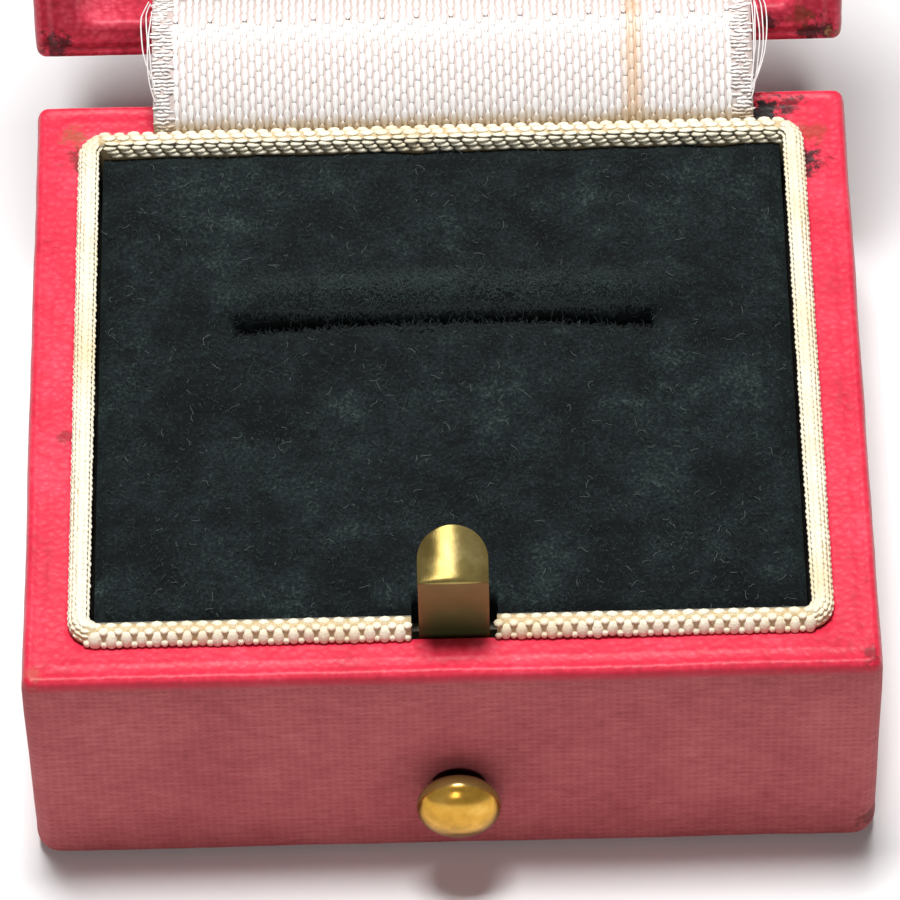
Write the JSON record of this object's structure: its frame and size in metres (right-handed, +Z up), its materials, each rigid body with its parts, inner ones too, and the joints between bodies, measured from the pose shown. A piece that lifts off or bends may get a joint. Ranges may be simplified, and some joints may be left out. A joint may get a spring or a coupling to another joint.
{
  "type": "hinged ring box",
  "caption": "Small square hinged ring box with red cloth covering, velvet ring pad with a slit, cream slip, satin hinge ribbon and push-button catch.",
  "frame": {"origin": "centre of the base's underside", "axes": "+Z up; +Y to the hinge at the back; the push-button faces -Y; +X to the right seen from the front"},
  "size_m": [0.05, 0.0757, 0.062],
  "materials": {
    "red_book_cloth": "matt woven cloth, glossier and redder on the rims",
    "beech_wood": "bare sawn wood",
    "grey_board": "matt pressed board",
    "base_paper": "matt",
    "cream_braid": "beaded woven braid",
    "teal_black_velvet": "short pile",
    "gilt_brass": "polished, a little worn",
    "spring_brass": "polished strip",
    "hinge_brass": "dull",
    "tack_steel": "plain",
    "white_satin": "satin"
  },
  "bodies": {
    "base": {"base_carcass": "beech_wood", "base_bottom_board": "beech_wood", "base_cover": "red_book_cloth", "base_bottom_paper": "base_paper", "slip_card": "grey_board", "slip_cover": "cream_braid", "pad_risers": "beech_wood", "pad_board": "grey_board", "ring_pad": "teal_black_velvet", "button_bush": "gilt_brass", "catch_foot": "spring_brass", "catch_tacks": "tack_steel", "hinge_leaf_base": "hinge_brass", "hinge_pin": "tack_steel", "hinge_tacks_base": "tack_steel", "hinge_ribbon": "white_satin"},
    "button": {"push_button": "gilt_brass", "button_washer": "gilt_brass"},
    "catch": {"catch_spring": "spring_brass"},
    "lid": {"lid_carcass": "beech_wood", "lid_top_board": "beech_wood", "lid_cover": "red_book_cloth", "lid_lining": "white_satin", "lid_pad_board": "grey_board", "lid_satin_pad": "white_satin", "keeper_plate": "spring_brass", "keeper_pins": "tack_steel", "hinge_leaf_lid": "hinge_brass", "hinge_tacks_lid": "tack_steel"}
  },
  "joints": [
    {"name": "lid_hinge", "type": "hinge", "parent": "base", "child": "lid", "pos_m": [0, 0.0239, 0.01735], "axis": [1, 0, 0], "range_deg": [0, 104], "deforming": ["hinge_ribbon"]},
    {"name": "button_push", "type": "slide", "parent": "base", "child": "button", "axis": [0, 1, 0], "range_m": [0, 0.0004], "stiffness_N_per_m": 800, "springref_m": -0.0005},
    {"name": "catch_flex", "type": "hinge", "parent": "base", "child": "catch", "pos_m": [0.0002, -0.01893, 0.00187], "axis": [-1, 0, 0], "range_deg": [0, 4.96]}
  ],
  "couplings": [
    {"joint": "catch_flex", "follows": "button_push", "rad_per_m": 216.22}
  ]
}
